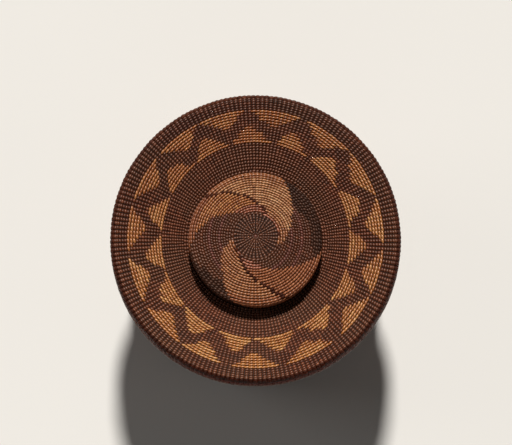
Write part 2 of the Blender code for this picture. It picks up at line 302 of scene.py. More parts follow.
def bulge(point):
    # the knob, and the brim next to it, bulge a little to one side
    radius = math.hypot(point.x, point.y)
    if not 0 < radius < outOfRound["knobFades"]:
        return point
    if radius < knobRadius:
        share = (radius / knobRadius) ** 2
    else:
        share = (outOfRound["knobFades"] - radius) / (outOfRound["knobFades"] - knobRadius)
    near = 0.5 - 0.5 * point.y / radius
    reach = outOfRound["knob"] * near ** 2 - outOfRound["knobFlat"] * (1 - near) ** 2
    grown = 1 + share * reach / radius
    return Vector((point.x * grown, point.y * grown, point.z))


shell = {
    "steps": 96,
    "merged": 0.001 * mm,
    "tone": 0.5,
    "slot": 1,                  # the shaded warp rods are a plain piece's second material
}


def turnShell(bm, outer, inner, slotIndex=shell["slot"]):
    # a closed turned shell between two outlines
    part = newWeave()
    verts = [part.verts.new((radius, 0, height)) for radius, height in outer + inner[::-1]]
    edges = [part.edges.new(pair) for pair in zip(verts, verts[1:] + verts[:1])]
    bmesh.ops.spin(
        part, geom=verts + edges, cent=(0, 0, 0), axis=(0, 0, 1),
        angle=math.tau, steps=shell["steps"], use_merge=True
    )
    bmesh.ops.remove_doubles(part, verts=part.verts[:], dist=shell["merged"])
    bmesh.ops.recalc_face_normals(part, faces=part.faces[:])
    tone = part.faces.layers.float["tone"]
    for face in part.faces:
        face.material_index = slotIndex
        face[tone] = shell["tone"]
    addTo(bm, part)


def turnWarps(bm, outline, depths, slotIndex=shell["slot"]):
    # the warps under the stitches are one shell, between two depths below the outline, coloured near black as
    # painted shade in the gaps between stitches
    turnShell(bm, inset(outline, depths[0]), inset(outline, depths[1]), slotIndex)


def addObject(name, data):
    made = bpy.data.objects.new(name, data)
    bpy.context.scene.collection.objects.link(made)
    return made


def finishPiece(bm, name, materials, body, nodes=(), stray=(wander,)):
    for vert in bm.verts:
        for move in stray:
            vert.co = move(vert.co)
    mesh = bpy.data.meshes.new(name)
    bm.to_mesh(mesh)
    bm.free()
    mesh.shade_smooth()
    for material in materials:
        mesh.materials.append(material)
    piece = addObject(name, mesh)
    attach(piece, body)
    if nodes:
        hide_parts(*nodes)
    report(f"{name} has {len(mesh.polygons)} faces")


# Materials

strandLook = {
    "patchRange": (0.35, 0.65),      # noise values between which a patch comes in
    "patchDetail": 2.0,
    "fibreStretch": 0.9,             # along a strand; a look's own "fibres" is across it
    "stitchesApart": 61.0,           # keeps the fibres of two stitches unlike
    "fibreDetail": 3.0,
    "fibreRoughness": 0.6,
    "fibreRange": (0.3, 0.7),
    "lightShare": 0.6,               # how far fibres lighten, of how far they darken
    # painted shade and grime: the colour at a strand's two ends
    "shadeAndGrime": (0.35, 0.35, 0.35),
    "clean": (1, 1, 1),
    "cleanSpan": (0.26, 0.74),       # the part of a strand's length that the painted shade and grime leave clean
    "paintedLightReach": 75 * mm,
    "duller": 0.07,                  # roughness more where fibres are low
    "shinier": 0.05,                 # and less where they are high
    "bumpHeight": 0.06 * mm,
}


def colourRamp(nodes, links, value, stops):
    ramp = nodes.new("ShaderNodeValToRGB")
    elements = ramp.color_ramp.elements
    while len(elements) < len(stops):
        elements.new(0.5)
    for element, (position, colour) in zip(elements, stops):
        element.position = position
        element.color = (*colour, 1.0)
    links.new(value, ramp.inputs["Fac"])
    return ramp.outputs["Color"]


def mapRange(nodes, links, value, fromLow, fromHigh, toLow=0.0, toHigh=1.0):
    mapped = nodes.new("ShaderNodeMapRange")
    mapped.inputs["From Min"].default_value = fromLow
    mapped.inputs["From Max"].default_value = fromHigh
    mapped.inputs["To Min"].default_value = toLow
    mapped.inputs["To Max"].default_value = toHigh
    links.new(value, mapped.inputs["Value"])
    return mapped.outputs["Result"]


def combine(nodes, links, kind, operation, first, second):
    # a Math or a Vector Math node over two sockets
    both = nodes.new(kind)
    both.operation = operation
    links.new(first, both.inputs[0])
    links.new(second, both.inputs["Scale"] if operation == "SCALE" else both.inputs[1])
    return both.outputs[0]


def patchedTone(nodes, links, look, tone, place):
    # one colour for each stitch, with slow patches over the whole weave
    dyes = ((0.0, look["dark"]), (0.5, look["middle"]), (1.0, look["light"]))
    colour = colourRamp(nodes, links, tone, dyes)
    patches = nodes.new("ShaderNodeTexNoise")
    patches.inputs["Scale"].default_value = look["patchScale"]
    patches.inputs["Detail"].default_value = strandLook["patchDetail"]
    links.new(place, patches.inputs["Vector"])
    low, high = strandLook["patchRange"]
    share = mapRange(nodes, links, patches.outputs["Fac"], low, high, 0.0, look["patchAmount"])
    patched = nodes.new("ShaderNodeMix")
    patched.data_type = "RGBA"
    patched.inputs["B"].default_value = (*look["patch"], 1.0)
    links.new(share, patched.inputs["Factor"])
    links.new(colour, patched.inputs["A"])
    return patched.outputs["Result"]


def fibreNoise(nodes, links, look, tone, strand):
    # long fibres, other ones in each stitch
    stretch = nodes.new("ShaderNodeMapping")
    stretch.inputs["Scale"].default_value = (look["fibres"], strandLook["fibreStretch"], 1.0)
    links.new(strand, stretch.inputs["Vector"])
    differ = nodes.new("ShaderNodeMath")
    differ.operation = "MULTIPLY"
    differ.inputs[1].default_value = strandLook["stitchesApart"]
    links.new(tone, differ.inputs[0])
    fibres = nodes.new("ShaderNodeTexNoise")
    fibres.noise_dimensions = "4D"
    fibres.inputs["Scale"].default_value = 1.0
    fibres.inputs["Detail"].default_value = strandLook["fibreDetail"]
    fibres.inputs["Roughness"].default_value = strandLook["fibreRoughness"]
    links.new(stretch.outputs["Vector"], fibres.inputs["Vector"])
    links.new(differ.outputs["Value"], fibres.inputs["W"])
    return fibres.outputs["Fac"]


def endShadeAndGrime(nodes, links, strand):
    # painted shade and grime where strands dive under: darker towards both ends of each strand
    axes = nodes.new("ShaderNodeSeparateXYZ")
    links.new(strand, axes.inputs["Vector"])
    shadeAndGrime, clean, (start, end) = strandLook["shadeAndGrime"], strandLook["clean"], strandLook["cleanSpan"]
    stops = ((0.0, shadeAndGrime), (start, clean), (end, clean), (1.0, shadeAndGrime))
    return colourRamp(nodes, links, axes.outputs["Y"], stops)


def paintedSideLight(nodes, links, look, place):
    # painted light and shade: the colour is scaled from its -Y side to its +Y side, for how the lamps fall on
    # each side
    where = nodes.new("ShaderNodeSeparateXYZ")
    links.new(place, where.inputs["Vector"])
    reach = strandLook["paintedLightReach"]
    across = mapRange(nodes, links, where.outputs["Y"], -reach, reach)
    return colourRamp(nodes, links, across, ((0.0, look["paintedMinusY"]), (1.0, look["paintedPlusY"])))


def newMaterial(name):
    material = bpy.data.materials.new(name)
    material.use_nodes = True
    nodes = material.node_tree.nodes
    return material, nodes, material.node_tree.links, nodes["Principled BSDF"]


def makeStrandMaterial(name, look):
    material, nodes, links, shader = newMaterial(name)
    shader.inputs["Base Color"].default_value = (*look["middle"], 1.0)
    shader.inputs["Specular IOR Level"].default_value = look["specular"]
    shader.inputs["Specular Tint"].default_value = (*look["tint"], 1.0)

    toneNode = nodes.new("ShaderNodeAttribute")               # one value for each stitch
    toneNode.attribute_name = "tone"
    tone = toneNode.outputs["Fac"]
    strandNode = nodes.new("ShaderNodeUVMap")                 # across and along each strand
    strandNode.uv_map = "strand"
    strand = strandNode.outputs["UV"]
    place = nodes.new("ShaderNodeTexCoord").outputs["Object"]

    fibres = fibreNoise(nodes, links, look, tone, strand)
    low, high = strandLook["fibreRange"]
    darker = 1.0 - look["fibreDepth"]
    lighter = 1.0 + look["fibreDepth"] * strandLook["lightShare"]
    shade = mapRange(nodes, links, fibres, low, high, darker, lighter)
    # darker strand ends: painted shade and grime
    shade = combine(nodes, links, "ShaderNodeMath", "MULTIPLY", shade, endShadeAndGrime(nodes, links, strand))
    colour = patchedTone(nodes, links, look, tone, place)
    # painted light and shade across the lid, from -Y to +Y
    left = paintedSideLight(nodes, links, look, place)
    colour = combine(nodes, links, "ShaderNodeVectorMath", "MULTIPLY", colour, left)
    colour = combine(nodes, links, "ShaderNodeVectorMath", "SCALE", colour, shade)
    links.new(colour, shader.inputs["Base Color"])

    dull = look["roughness"] + strandLook["duller"]
    shiny = look["roughness"] - strandLook["shinier"]
    links.new(mapRange(nodes, links, fibres, low, high, dull, shiny), shader.inputs["Roughness"])
    bump = nodes.new("ShaderNodeBump")
    bump.inputs["Strength"].default_value = look["bump"]
    bump.inputs["Distance"].default_value = strandLook["bumpHeight"]
    links.new(fibres, bump.inputs["Height"])
    links.new(bump.outputs["Normal"], shader.inputs["Normal"])
    return material


# A look gives the dye's dark, middle and light tones. Two factors multiply it at -Y and at +Y: painted light
# and painted shade for how the lamps fall on each side

# the dark weft is painted lighter at -Y and painted darker at +Y
darkLook = {
    "dark": (0.083, 0.016, 0.003), "middle": (0.142, 0.032, 0.009), "light": (0.215, 0.058, 0.022),
    "patch": (0.108, 0.038, 0.015), "patchScale": 34, "patchAmount": 0.6, "tint": (1.0, 0.92, 0.87),
    "fibres": 9.0, "fibreDepth": 0.3, "roughness": 0.42, "specular": 0.75, "bump": 0.35,
    "paintedMinusY": (1.18, 1.24, 1.28), "paintedPlusY": (0.80, 0.77, 0.74),
}
# the edge's side factors are turned round: painted light at +Y, where the edge faces the key lamp, and
# painted shade at -Y
edgeLook = {
    **darkLook,
    "dark": (0.036, 0.009, 0.004), "middle": (0.062, 0.015, 0.006), "light": (0.100, 0.026, 0.011),
    "patch": (0.044, 0.013, 0.008), "specular": 0.10, "paintedMinusY": (0.8, 0.58, 0.45), "paintedPlusY": (1.4, 1.6, 1.8),
}
# the skirt's -Y side is painted redder and darker in green and blue, standing for its shaded front above the
# pale floor
skirtLook = {**edgeLook, "paintedMinusY": (2.4, 1.0, 0.7)}
blackLook = {
    **darkLook,
    "dark": (0.028, 0.009, 0.004), "middle": (0.051, 0.016, 0.007), "light": (0.088, 0.030, 0.015),
    "patch": (0.040, 0.015, 0.009), "specular": 0.40, "tint": (1.0, 0.85, 0.77),
}
pinkLook = {
    **darkLook,
    "dark": (0.125, 0.033, 0.020), "middle": (0.215, 0.062, 0.040), "light": (0.315, 0.104, 0.071),
    "patch": (0.145, 0.043, 0.032),
}
# the golden grass is painted lighter at -Y and painted darker at +Y
goldLook = {
    "dark": (0.263, 0.068, 0.012), "middle": (0.375, 0.120, 0.027), "light": (0.500, 0.205, 0.062),
    "patch": (0.400, 0.120, 0.030), "patchScale": 60, "patchAmount": 0.5, "tint": (1.0, 0.96, 0.90),
    "fibres": 10.0, "fibreDepth": 0.30, "roughness": 0.36, "specular": 0.9, "bump": 0.4,
    "paintedMinusY": (1.34, 1.60, 1.75), "paintedPlusY": (0.80, 0.71, 0.62),
}
armLook = {
    **goldLook,
    "dark": (0.205, 0.055, 0.015), "middle": (0.305, 0.091, 0.027), "light": (0.425, 0.160, 0.060),
    "patch": (0.293, 0.084, 0.027),
}
paleLook = {
    **goldLook,
    "dark": (0.282, 0.093, 0.029), "middle": (0.420, 0.160, 0.059), "light": (0.572, 0.275, 0.125),
    "patch": (0.420, 0.152, 0.056),
}
orangeLook = {
    **goldLook,
    "dark": (0.250, 0.066, 0.014), "middle": (0.364, 0.110, 0.025), "light": (0.490, 0.184, 0.053),
    "patch": (0.335, 0.093, 0.026),
}
tanLook = {
    **goldLook,
    "dark": (0.183, 0.045, 0.013), "middle": (0.266, 0.073, 0.024), "light": (0.350, 0.110, 0.041),
    "patch": (0.236, 0.062, 0.023), "specular": 0.6,
}
redLook = {
    **goldLook,
    "dark": (0.180, 0.046, 0.019), "middle": (0.290, 0.076, 0.035), "light": (0.410, 0.125, 0.062),
    "patch": (0.250, 0.067, 0.038),
}
braidLook = {
    **darkLook,
    "dark": (0.080, 0.024, 0.011), "middle": (0.145, 0.045, 0.020), "light": (0.220, 0.075, 0.036),
    "patch": (0.120, 0.036, 0.022),
}
innerLook = {
    **darkLook,
    "dark": (0.105, 0.045, 0.023), "middle": (0.175, 0.080, 0.042), "light": (0.250, 0.124, 0.066),
    "patch": (0.140, 0.066, 0.040), "roughness": 0.52, "specular": 0.22,
}
# real warps, but near black: painted shade in the gaps between the stitches
shadedWarpLook = {
    **darkLook,
    "dark": (0.036, 0.010, 0.004), "middle": (0.036, 0.010, 0.004), "light": (0.036, 0.010, 0.004),
    "patch": (0.028, 0.008, 0.003), "roughness": 0.6, "specular": 0.2,
}
stoneLook = {
    **darkLook,
    "dark": (0.20, 0.19, 0.175), "middle": (0.27, 0.255, 0.235), "light": (0.34, 0.32, 0.29),
    "tint": (1, 1, 1), "paintedMinusY": (1, 1, 1), "paintedPlusY": (1, 1, 1),
    "patch": (0.16, 0.15, 0.14), "patchScale": 420, "patchAmount": 0.8, "roughness": 0.5, "specular": 0.4,
}
darkWeft = makeStrandMaterial("darkWeft", darkLook)
edgeWeft = makeStrandMaterial("edgeWeft", edgeLook)
skirtWeft = makeStrandMaterial("skirtWeft", skirtLook)
blackWeft = makeStrandMaterial("blackWeft", blackLook)
pinkWeft = makeStrandMaterial("pinkWeft", pinkLook)
goldGrass = makeStrandMaterial("goldGrass", goldLook)
armGrass = makeStrandMaterial("armGrass", armLook)
paleGrass = makeStrandMaterial("paleGrass", paleLook)
orangeGrass = makeStrandMaterial("orangeGrass", orangeLook)
tanGrass = makeStrandMaterial("tanGrass", tanLook)
redGrass = makeStrandMaterial("redGrass", redLook)
redBraid = makeStrandMaterial("redBraid", braidLook)
innerWeft = makeStrandMaterial("innerWeft", innerLook)
shadedWarpRods = makeStrandMaterial("shadedWarpRods", shadedWarpLook)
greyStone = makeStrandMaterial("greyStone", stoneLook)
report("materials are mixed")


# Lid brim: a dish of dark twining with two rings of golden triangles

brim = {
    "shoulder": 3.1 * mm,
    "straightShare": 0.75,      # how much of the dish's depth falls evenly towards the knob
    "knobRows": 2,              # closely warped rows beside the knob
    "knobWarps": 120,
    "plainRows": 9,
    "innerWarps": 165,
    "edgeRows": 4,
    "shoulderRows": 4,
    "darkRows": 3,              # duller red-brown rows round the edge
    "paintedHighlightStep": 0.06,           # the first row outside the triangles, and each next row that much lighter: a painted highlight towards the shoulder
    "thickness": 2.0 * mm,
    "warpDepths": (0.5 * mm, 1.5 * mm),
    "seed": 11,
}
# Rings of triangles: "counts" are the stitches of each row, from the inside outwards. For each
# triangle, "wider" is how many more its base row has, and "shift" how many warps it stands out of even
# spacing. "lean" is how many warps the tips lean clockwise
innerRing = {
    "base": 49.9 * mm,
    "counts": (11, 9, 7, 6, 4, 2),
    "wider": (-1, 1, 1, 0, 0, 1, 1, -1, 0, 1, 0, 0, 1, 0, 1),
    "shift": (0, 0, 1, 1, 1, 1, 2, 1, 1, 0, 0, 0, 0, 0, 0),
    "lean": -0.5,
    "apexDeg": 21.3,            # clockwise from +Y to the middle of the first triangle
    "tone": 0.60,
    "seed": 12,
}
outerRing = {
    "base": 67.2 * mm,
    "counts": (2, 4, 6, 7, 9, 11),
    "wider": (1, 1, 1, 0, 0, 0, 1, 0, -1, 0, 0, 0, 0, 0, 0),
    "shift": (-1, 0, 0, 0, 0, -1, 0, 1, 1, 0, 0, 0, 0, 0, -1),
    "lean": 0.5,
    "apexDeg": 10.2,
    "tone": 0.48,
    "seed": 13,
}
triangleLook = {
    "toneSpread": 0.2,          # from one triangle to the next
    "rowToneSpread": 0.15,
    "widthStray": 0.3,
    "fillTones": (0.2, 0.5),    # of the dark stitches between triangles
}
flatRadius = lidRadius - brim["shoulder"]


def dishHeight(radius):
    slack = max((flatRadius - radius) / (flatRadius - knobRadius), 0.0)
    share = brim["straightShare"]
    return crest - (crest - junction) * (share * slack + (1 - share) * slack ** 2)


def fillBetween(bm, station, warps, runs, rng, tone):
    # dark stitches wherever the row has no overlay
    runs = sorted((first % warps, count) for first, count in runs)
    for index, (first, count) in enumerate(runs):
        start = first + count
        gap = (runs[(index + 1) % len(runs)][0] - start) % warps
        if gap:
            weaveRow(bm, station, warps, "weft", rng, start, gap, tone=tone)


def triangleRows(dark, gold, stations, ring, rng):
    # a ring of triangles, each a little unlike the next
    perRepeat = rimWarps / repeats
    middle = ring["apexDeg"] / 360 * rimWarps
    spread, rowSpread = triangleLook["toneSpread"], triangleLook["rowToneSpread"]
    stray = triangleLook["widthStray"]
    tones = [ring["tone"] + rng.uniform(-spread, spread) for _ in range(repeats)]
    widest = max(ring["counts"])
    for station, count in zip(stations, ring["counts"]):
        runs = []
        for number in range(repeats):
            slack = (widest - count) / widest
            centre = middle + number * perRepeat + ring["shift"][number] + ring["lean"] * slack
            wider = round(ring["wider"][number] * (1 - slack) + rng.uniform(-stray, stray))
            runCount = count + wider
            runs.append((round(centre - runCount / 2), runCount))
            tone = tones[number] + rng.uniform(-rowSpread, rowSpread)
            weaveRow(gold, station, rimWarps, "overlay", rng, runs[-1][0], runCount, tone=tone)
        fillBetween(dark, station, rimWarps, runs, rng, rng.uniform(*triangleLook["fillTones"]))


def makeBrim():
    rng = random.Random(brim["seed"])
    dark, inner, outer = newWeave(), newWeave(), newWeave()
    materials = [darkWeft, shadedWarpRods, edgeWeft]
    plain = brim["knobRows"] + brim["plainRows"]
    for row, station in enumerate(stationsOn(slopeLine(dishHeight, knobRadius, innerRing["base"]), plain)):
        warps = brim["knobWarps"] if row < brim["knobRows"] else brim["innerWarps"]
        plainRow(dark, station, warps, "weft", rng)
    innerRows = len(innerRing["counts"])
    rows = innerRows + len(outerRing["counts"])
    stations = stationsOn(slopeLine(dishHeight, innerRing["base"], outerRing["base"]), rows)
    triangleRows(dark, inner, stations[:innerRows], innerRing, random.Random(innerRing["seed"]))
    triangleRows(dark, outer, stations[innerRows:], outerRing, random.Random(outerRing["seed"]))
    edge = slopeLine(dishHeight, outerRing["base"], flatRadius)
    shoulder = arcLine((flatRadius, crest - brim["shoulder"]), brim["shoulder"], 90, 0)
    stations = stationsOn(edge, brim["edgeRows"]) + stationsOn(shoulder, brim["shoulderRows"])
    for row, station in enumerate(stations):
        if row >= len(stations) - brim["darkRows"]:
            plainRow(dark, station, rimWarps, "fine", rng, materials.index(edgeWeft))
        else:
            # tones rising outwards: a painted highlight row before the dark edge rows
            weaveRow(dark, station, rimWarps, "weft", rng, tone=brim["paintedHighlightStep"] * (row + 1))
    surface = slopeLine(dishHeight, knobRadius, flatRadius) + shoulder[1:]
    turnWarps(dark, surface, brim["warpDepths"], materials.index(shadedWarpRods))
    innerNodes = [f"lid_inner_triangle_{number:02d}" for number in range(1, repeats + 1)]
    outerNodes = [f"lid_outer_triangle_{number:02d}" for number in range(1, repeats + 1)]
    moves = (wander, drawOut, bulge)
    finishPiece(dark, "lidBrim", materials, "lid", ["lid_brim"], moves)
    finishPiece(inner, "lidInnerTriangles", [goldGrass], "lid", innerNodes, moves)
    finishPiece(outer, "lidOuterTriangles", [goldGrass], "lid", outerNodes, moves)


makeBrim()


# Lid skirt and its braided lower edge

skirt = {"rows": 7, "warpDepths": (0.5 * mm, 1.5 * mm), "seed": 21}
lidBraid = {"warps": 126, "rows": 6, "kind": "plait", "seed": 22}
braidCore = {"share": 0.55, "steps": 6}         # the plain ring inside a braid, as a share of its size


def makeSkirt():
    rng = random.Random(skirt["seed"])
    bm = newWeave()
    side = [(lidRadius, crest - brim["shoulder"]), (lidRadius, lidBraidNode["high"])]
    for station in stationsOn(side, skirt["rows"]):
        plainRow(bm, station, rimWarps, "fine", rng)
    turnWarps(bm, side, skirt["warpDepths"])
    finishPiece(bm, "lidSkirt", [skirtWeft, shadedWarpRods], "lid", ["lid_skirt"])


def makeBraid(name, body, nodeName, inner, braid):
    # strands round an oval ring, from the node's outer radius to the inner one
    rng = random.Random(braid["seed"])
    bm = newWeave()
    node = nodeSize(nodeName)
    middle = ((node["radius"] + inner) / 2, (node["low"] + node["high"]) / 2)
    across, up = (node["radius"] - inner) / 2, (node["high"] - node["low"]) / 2
    for row, station in enumerate(stationsOn(ovalLine(middle, across, up, 180, -180), braid["rows"])):
        sign = -1 if braid["kind"] == "plait" and row % 2 else 1
        aside = 0.5 * (row % 2)                # every other row starts half a stitch on
        weaveRow(bm, station, braid["warps"], braid["kind"], rng, aside, slantSign=sign)
    across, up = across * braidCore["share"], up * braidCore["share"]
    over = ovalLine(middle, across, up, 180, 0, braidCore["steps"])
    under = ovalLine(middle, across, up, 180, 360, braidCore["steps"])
    turnShell(bm, over, under[1:-1])
    finishPiece(bm, name, [redBraid, shadedWarpRods], body, [nodeName])


makeSkirt()
makeBraid("lidRimBraid", "lid", "lid_rim_braid", lidRadius - brim["thickness"], lidBraid)


# Knob: a low drum with a swirl of light arms. Angles run clockwise from +Y

knob = {
    "dome": 2.0 * mm,
    "brow": 1.9 * mm,
    "rowPitch": 1.3 * mm,
    "centreRadius": 12.0 * mm,
    "browRows": 2,
    "wallRows": 6,
    "warpSteps": ((3.2, 12), (5.8, 24), (12.2, 36), (15.6, 54), (19.0, 72), (22.5, 84), (99, 105)),
    "sideTurn": 3.2,            # degrees that the swirl turns in each row of the side
    "lineWarps": 1,             # stitches in the dark lines between two light arms
    "lineTone": 0.25,
    "stray": 0.3,               # warps that a dark row may be out of line with the next
    "innerReach": 16.5 * mm,    # within this radius the arms' inner ends are redder
    "outerReach": 31.5 * mm,    # beyond this radius the arms are darker
    "duller": 27 * mm,          # radius within which the dark weft is darker
    "pinkRows": (18.7 * mm, 24.6 * mm),     # radii of the pinkish rows in the wide gaps
    "startRadius": 0.9 * mm,
    "knot": 1.0 * mm,
    "knotSides": 12,
    "knotRings": 8,
    "knotSunkShare": 0.9,       # of the knot's radius, that its middle lies below the top
    "knotTone": 1.0,
    "warpDepths": (0.45 * mm, 1.4 * mm),
    "centreTones": (0.0, 0.2),
    "nearTones": (0.0, 0.1),    # of dark rows within the duller radius
    "farTones": (0.0, 0.4),
    "blackTones": (0.3, 0.7),
    "blackStray": 2,            # stitches that a black run may be longer or shorter
    "seed": 31,
}
knobMaterials = [darkWeft, blackWeft, pinkWeft, shadedWarpRods, edgeWeft]
armParts = ["grass", "inner", "outer"]
# Each arm lies between two edges, given as (radius in mm, clockwise angle), or up to another arm.
# Between an arm's two black radii, the dark weft clockwise of it goes over to black
arms = {
    "knobSwirlPale": {
        "near": ((12.2, 92), (12.6, 62), (13.3, 26), (20.4, -7), (25.3, -25), (31.8, -43), (34.4, -49)),
        "far": ((13.4, 106), (17.3, 81), (21.6, 60), (30.0, 36), (35.1, 22)),
        "grass": paleGrass, "inner": armGrass, "outer": armGrass,
        "node": "lid_knob_swirl_1", "black": (25.2 * mm, 30.8 * mm),
    },
    "knobSwirlGold": {
        "near": ((11.8, 243), (13.7, 215), (18.6, 196), (23.3, 178), (28.8, 164), (35.0, 153)),
        "far": ((12.6, 261), (20.2, 241), (24.5, 223), (30.8, 207), (36.0, 196)),
        "grass": armGrass, "inner": armGrass, "outer": tanGrass,
        "node": "lid_knob_swirl_3", "black": (27.0 * mm, 35.0 * mm),
    },
    "knobSwirlTan": {
        "near": ((13.0, 216), (13.5, 184), (17.9, 158), (22.7, 132), (28.5, 117), (34.3, 102)),
        "far": "knobSwirlGold",
        "grass": tanGrass, "inner": redGrass, "outer": tanGrass, "node": "lid_knob_swirl_4", "black": None,
    },
    "knobSwirlOrange": {
        "near": ((12.7, 384), (12.9, 339), (17.6, 313), (24.9, 291), (34.0, 262)),
        "far": "knobSwirlPale",
        "grass": orangeGrass, "inner": redGrass, "outer": tanGrass, "node": "lid_knob_swirl_2", "black": None,
    },
}
browRadius = knobRadius - knob["brow"]
knobTop = knobTopNode["high"]
browBase = knobTop - knob["dome"] - knob["brow"]


def domeHeight(radius):
    return knobTop - knob["dome"] * (radius / browRadius) ** 2


def warpsAt(radius, steps):
    # steps are pairs: up to this radius in mm, so many warps
    return next(warps for limit, warps in steps if radius < limit * mm)


def angleAt(edge, radius):
    radius = radius / mm
    for (nearRadius, nearAngle), (farRadius, farAngle) in zip(edge, edge[1:]):
        if radius <= farRadius:
            share = (radius - nearRadius) / (farRadius - nearRadius)
            return nearAngle + (farAngle - nearAngle) * max(share, 0.0)
    return edge[-1][1]


def swirlRow(dark, light, station, sideRows, rng):
    # sideRows counts the side's rows downwards, and is 0 on the top
    radius = station[0].x
    warps = warpsAt(radius, knob["warpSteps"])
    further = knob["sideTurn"] * sideRows
    firsts, runs = {}, []
    for name, arm in arms.items():
        firsts[name] = first = round((angleAt(arm["near"], radius) - further) / 360 * warps)
        if arm["far"] in arms:
            apart = (firsts[arm["far"]] - first) % warps
            count = apart - knob["lineWarps"]
            if apart > warps / 2:              # the two edges have crossed, and the arm has ended
                continue
        else:
            count = round((angleAt(arm["far"], radius) - further) / 360 * warps) - first
        if count < 1:
            continue
        part = "inner" if radius < knob["innerReach"] else "outer" if radius > knob["outerReach"] else "grass"
        tone = rng.uniform(*weaveLook["rowTones"])
        weaveRow(light[name], station, warps, "arm", rng, first, count, armParts.index(part), tone)
        runs.append((first % warps, count, arm["black"]))
    runs.sort()
    pink = any(abs(radius - at) < knob["rowPitch"] / 2 for at in knob["pinkRows"])
    for index, (first, count, black) in enumerate(runs):
        start = first + count
        gap = (runs[(index + 1) % len(runs)][0] - start) % warps
        share = (radius - black[0]) / (black[1] - black[0]) if black else 0.0
        blacked = round(gap * min(max(share, 0.0), 1.0))
        if 0 < blacked < gap:
            blacked = min(max(blacked + rng.randint(-knob["blackStray"], knob["blackStray"]), 1), gap)
        if not black and gap <= knob["lineWarps"]:
            slot = knobMaterials.index(edgeWeft)
            weaveRow(dark, station, warps, "line", rng, start, gap, slot, knob["lineTone"])
            continue
        start += rng.uniform(-knob["stray"], knob["stray"])
        tone = rng.uniform(*knob["nearTones" if radius < knob["duller"] else "farTones"])
        if blacked:
            slot, blackTone = knobMaterials.index(blackWeft), rng.uniform(*knob["blackTones"])
            weaveRow(dark, station, warps, "fine", rng, start, blacked, slot, blackTone)
        if gap > blacked:
            slot = knobMaterials.index(pinkWeft if pink and black else darkWeft)
            weaveRow(dark, station, warps, "fine", rng, start + blacked, gap - blacked, slot, tone)


def tieKnot(bm):
    # the small light knot in the middle, where the weaving began
    knot = newWeave()
    bmesh.ops.create_uvsphere(
        knot, u_segments=knob["knotSides"], v_segments=knob["knotRings"], radius=knob["knot"], calc_uvs=True
    )
    level = knobTop - knob["knot"] * knob["knotSunkShare"]
    bmesh.ops.translate(knot, vec=(0, 0, level), verts=knot.verts[:])
    tone = knot.faces.layers.float["tone"]
    for face in knot.faces:
        face.material_index = knobMaterials.index(pinkWeft)
        face[tone] = knob["knotTone"]
    addTo(bm, knot)


def makeKnob():
    rng = random.Random(knob["seed"])
    dark, wall = newWeave(), newWeave()
    light = {name: newWeave() for name in arms}
    topLine = slopeLine(domeHeight, knob["startRadius"], browRadius)
    browLine = arcLine((browRadius, browBase), knob["brow"], 90, 0)
    wallLine = [(knobRadius, browBase), (knobRadius, junction)]
    for station in stationsOn(topLine, round((browRadius - knob["startRadius"]) / knob["rowPitch"])):
        radius = station[0].x
        if radius < knob["centreRadius"]:
            warps = warpsAt(radius, knob["warpSteps"])
            weaveRow(dark, station, warps, "rib", rng, tone=rng.uniform(*knob["centreTones"]))
        else:
            swirlRow(dark, light, station, 0, rng)
    sideStations = [(dark, station) for station in stationsOn(browLine, knob["browRows"])]
    sideStations += [(wall, station) for station in stationsOn(wallLine, knob["wallRows"])]
    for row, (bm, station) in enumerate(sideStations):
        swirlRow(bm, light, station, max(row - knob["browRows"] + 1, 0), rng)
    tieKnot(dark)
    warpSlot = knobMaterials.index(shadedWarpRods)
    turnWarps(dark, [(0.0, knobTop)] + topLine + browLine[1:], knob["warpDepths"], warpSlot)
    turnWarps(wall, wallLine, knob["warpDepths"], warpSlot)
    moves = (wander, bulge)
    finishPiece(dark, "knobTop", knobMaterials, "lid", ["lid_knob_top"], moves)
    finishPiece(wall, "knobWall", knobMaterials, "lid", ["lid_knob_wall"], moves)
    for name, arm in arms.items():
        grasses = [arm[part] for part in armParts]
        finishPiece(light[name], name, grasses, "lid", [arm["node"]], moves)


makeKnob()


# The lid's underside, and the woven disc that closes the knob

inside = {
    "rowPitch": 1.4 * mm,
    "warpSteps": ((8, 24), (14, 48), (22, 78), (30, 105), (40, 120), (58, 165), (99, 195)),
    "floorRadius": 32.3 * mm,
    "floorWarpDepth": 0.45 * mm,
    "startRadius": 0.8 * mm,            # where a disc's weaving begins
    "shoulderSteps": 8,
    "lidSeed": 41,
    "floorSeed": 42,
}


def weaveInside(bm, line, warpSteps, seed, kindName="inner"):
    rng = random.Random(seed)
    for station in stationsOn(line, round(lineLength(line) / inside["rowPitch"])):
        plainRow(bm, station, warpsAt(station[0].x, warpSteps), kindName, rng)


def makeLidUnderside():
    depth = brim["thickness"]
    radius = lidRadius - depth
    shoulder = brim["shoulder"] - depth
    top = crest - depth
    line = [(radius, lidBraidNode["high"]), (radius, top - shoulder)]
    line += arcLine((radius - shoulder, top - shoulder), shoulder, 0, 90, inside["shoulderSteps"])[1:]
    line += slopeLine(lambda at: dishHeight(at) - depth, radius - shoulder, inside["floorRadius"])[1:]
    bm = newWeave()
    weaveInside(bm, line, inside["warpSteps"], inside["lidSeed"])
    finishPiece(bm, "lidUnderside", [innerWeft], "lid")


def makeKnobFloor():
    low, high, edge = knobFloorNode["low"], knobFloorNode["high"], inside["floorRadius"]
    bm = newWeave()
    weaveInside(bm, [(edge, low), (inside["startRadius"], low)], inside["warpSteps"], inside["floorSeed"])
    level = low + inside["floorWarpDepth"]
    turnShell(bm, [(0, high), (edge, high)], [(0, level), (edge, level)])
    finishPiece(bm, "knobFloor", [innerWeft, shadedWarpRods], "lid", ["lid_knob_floor"])


makeLidUnderside()
makeKnobFloor()


# Basket body: side, rounded lower corner and bottom

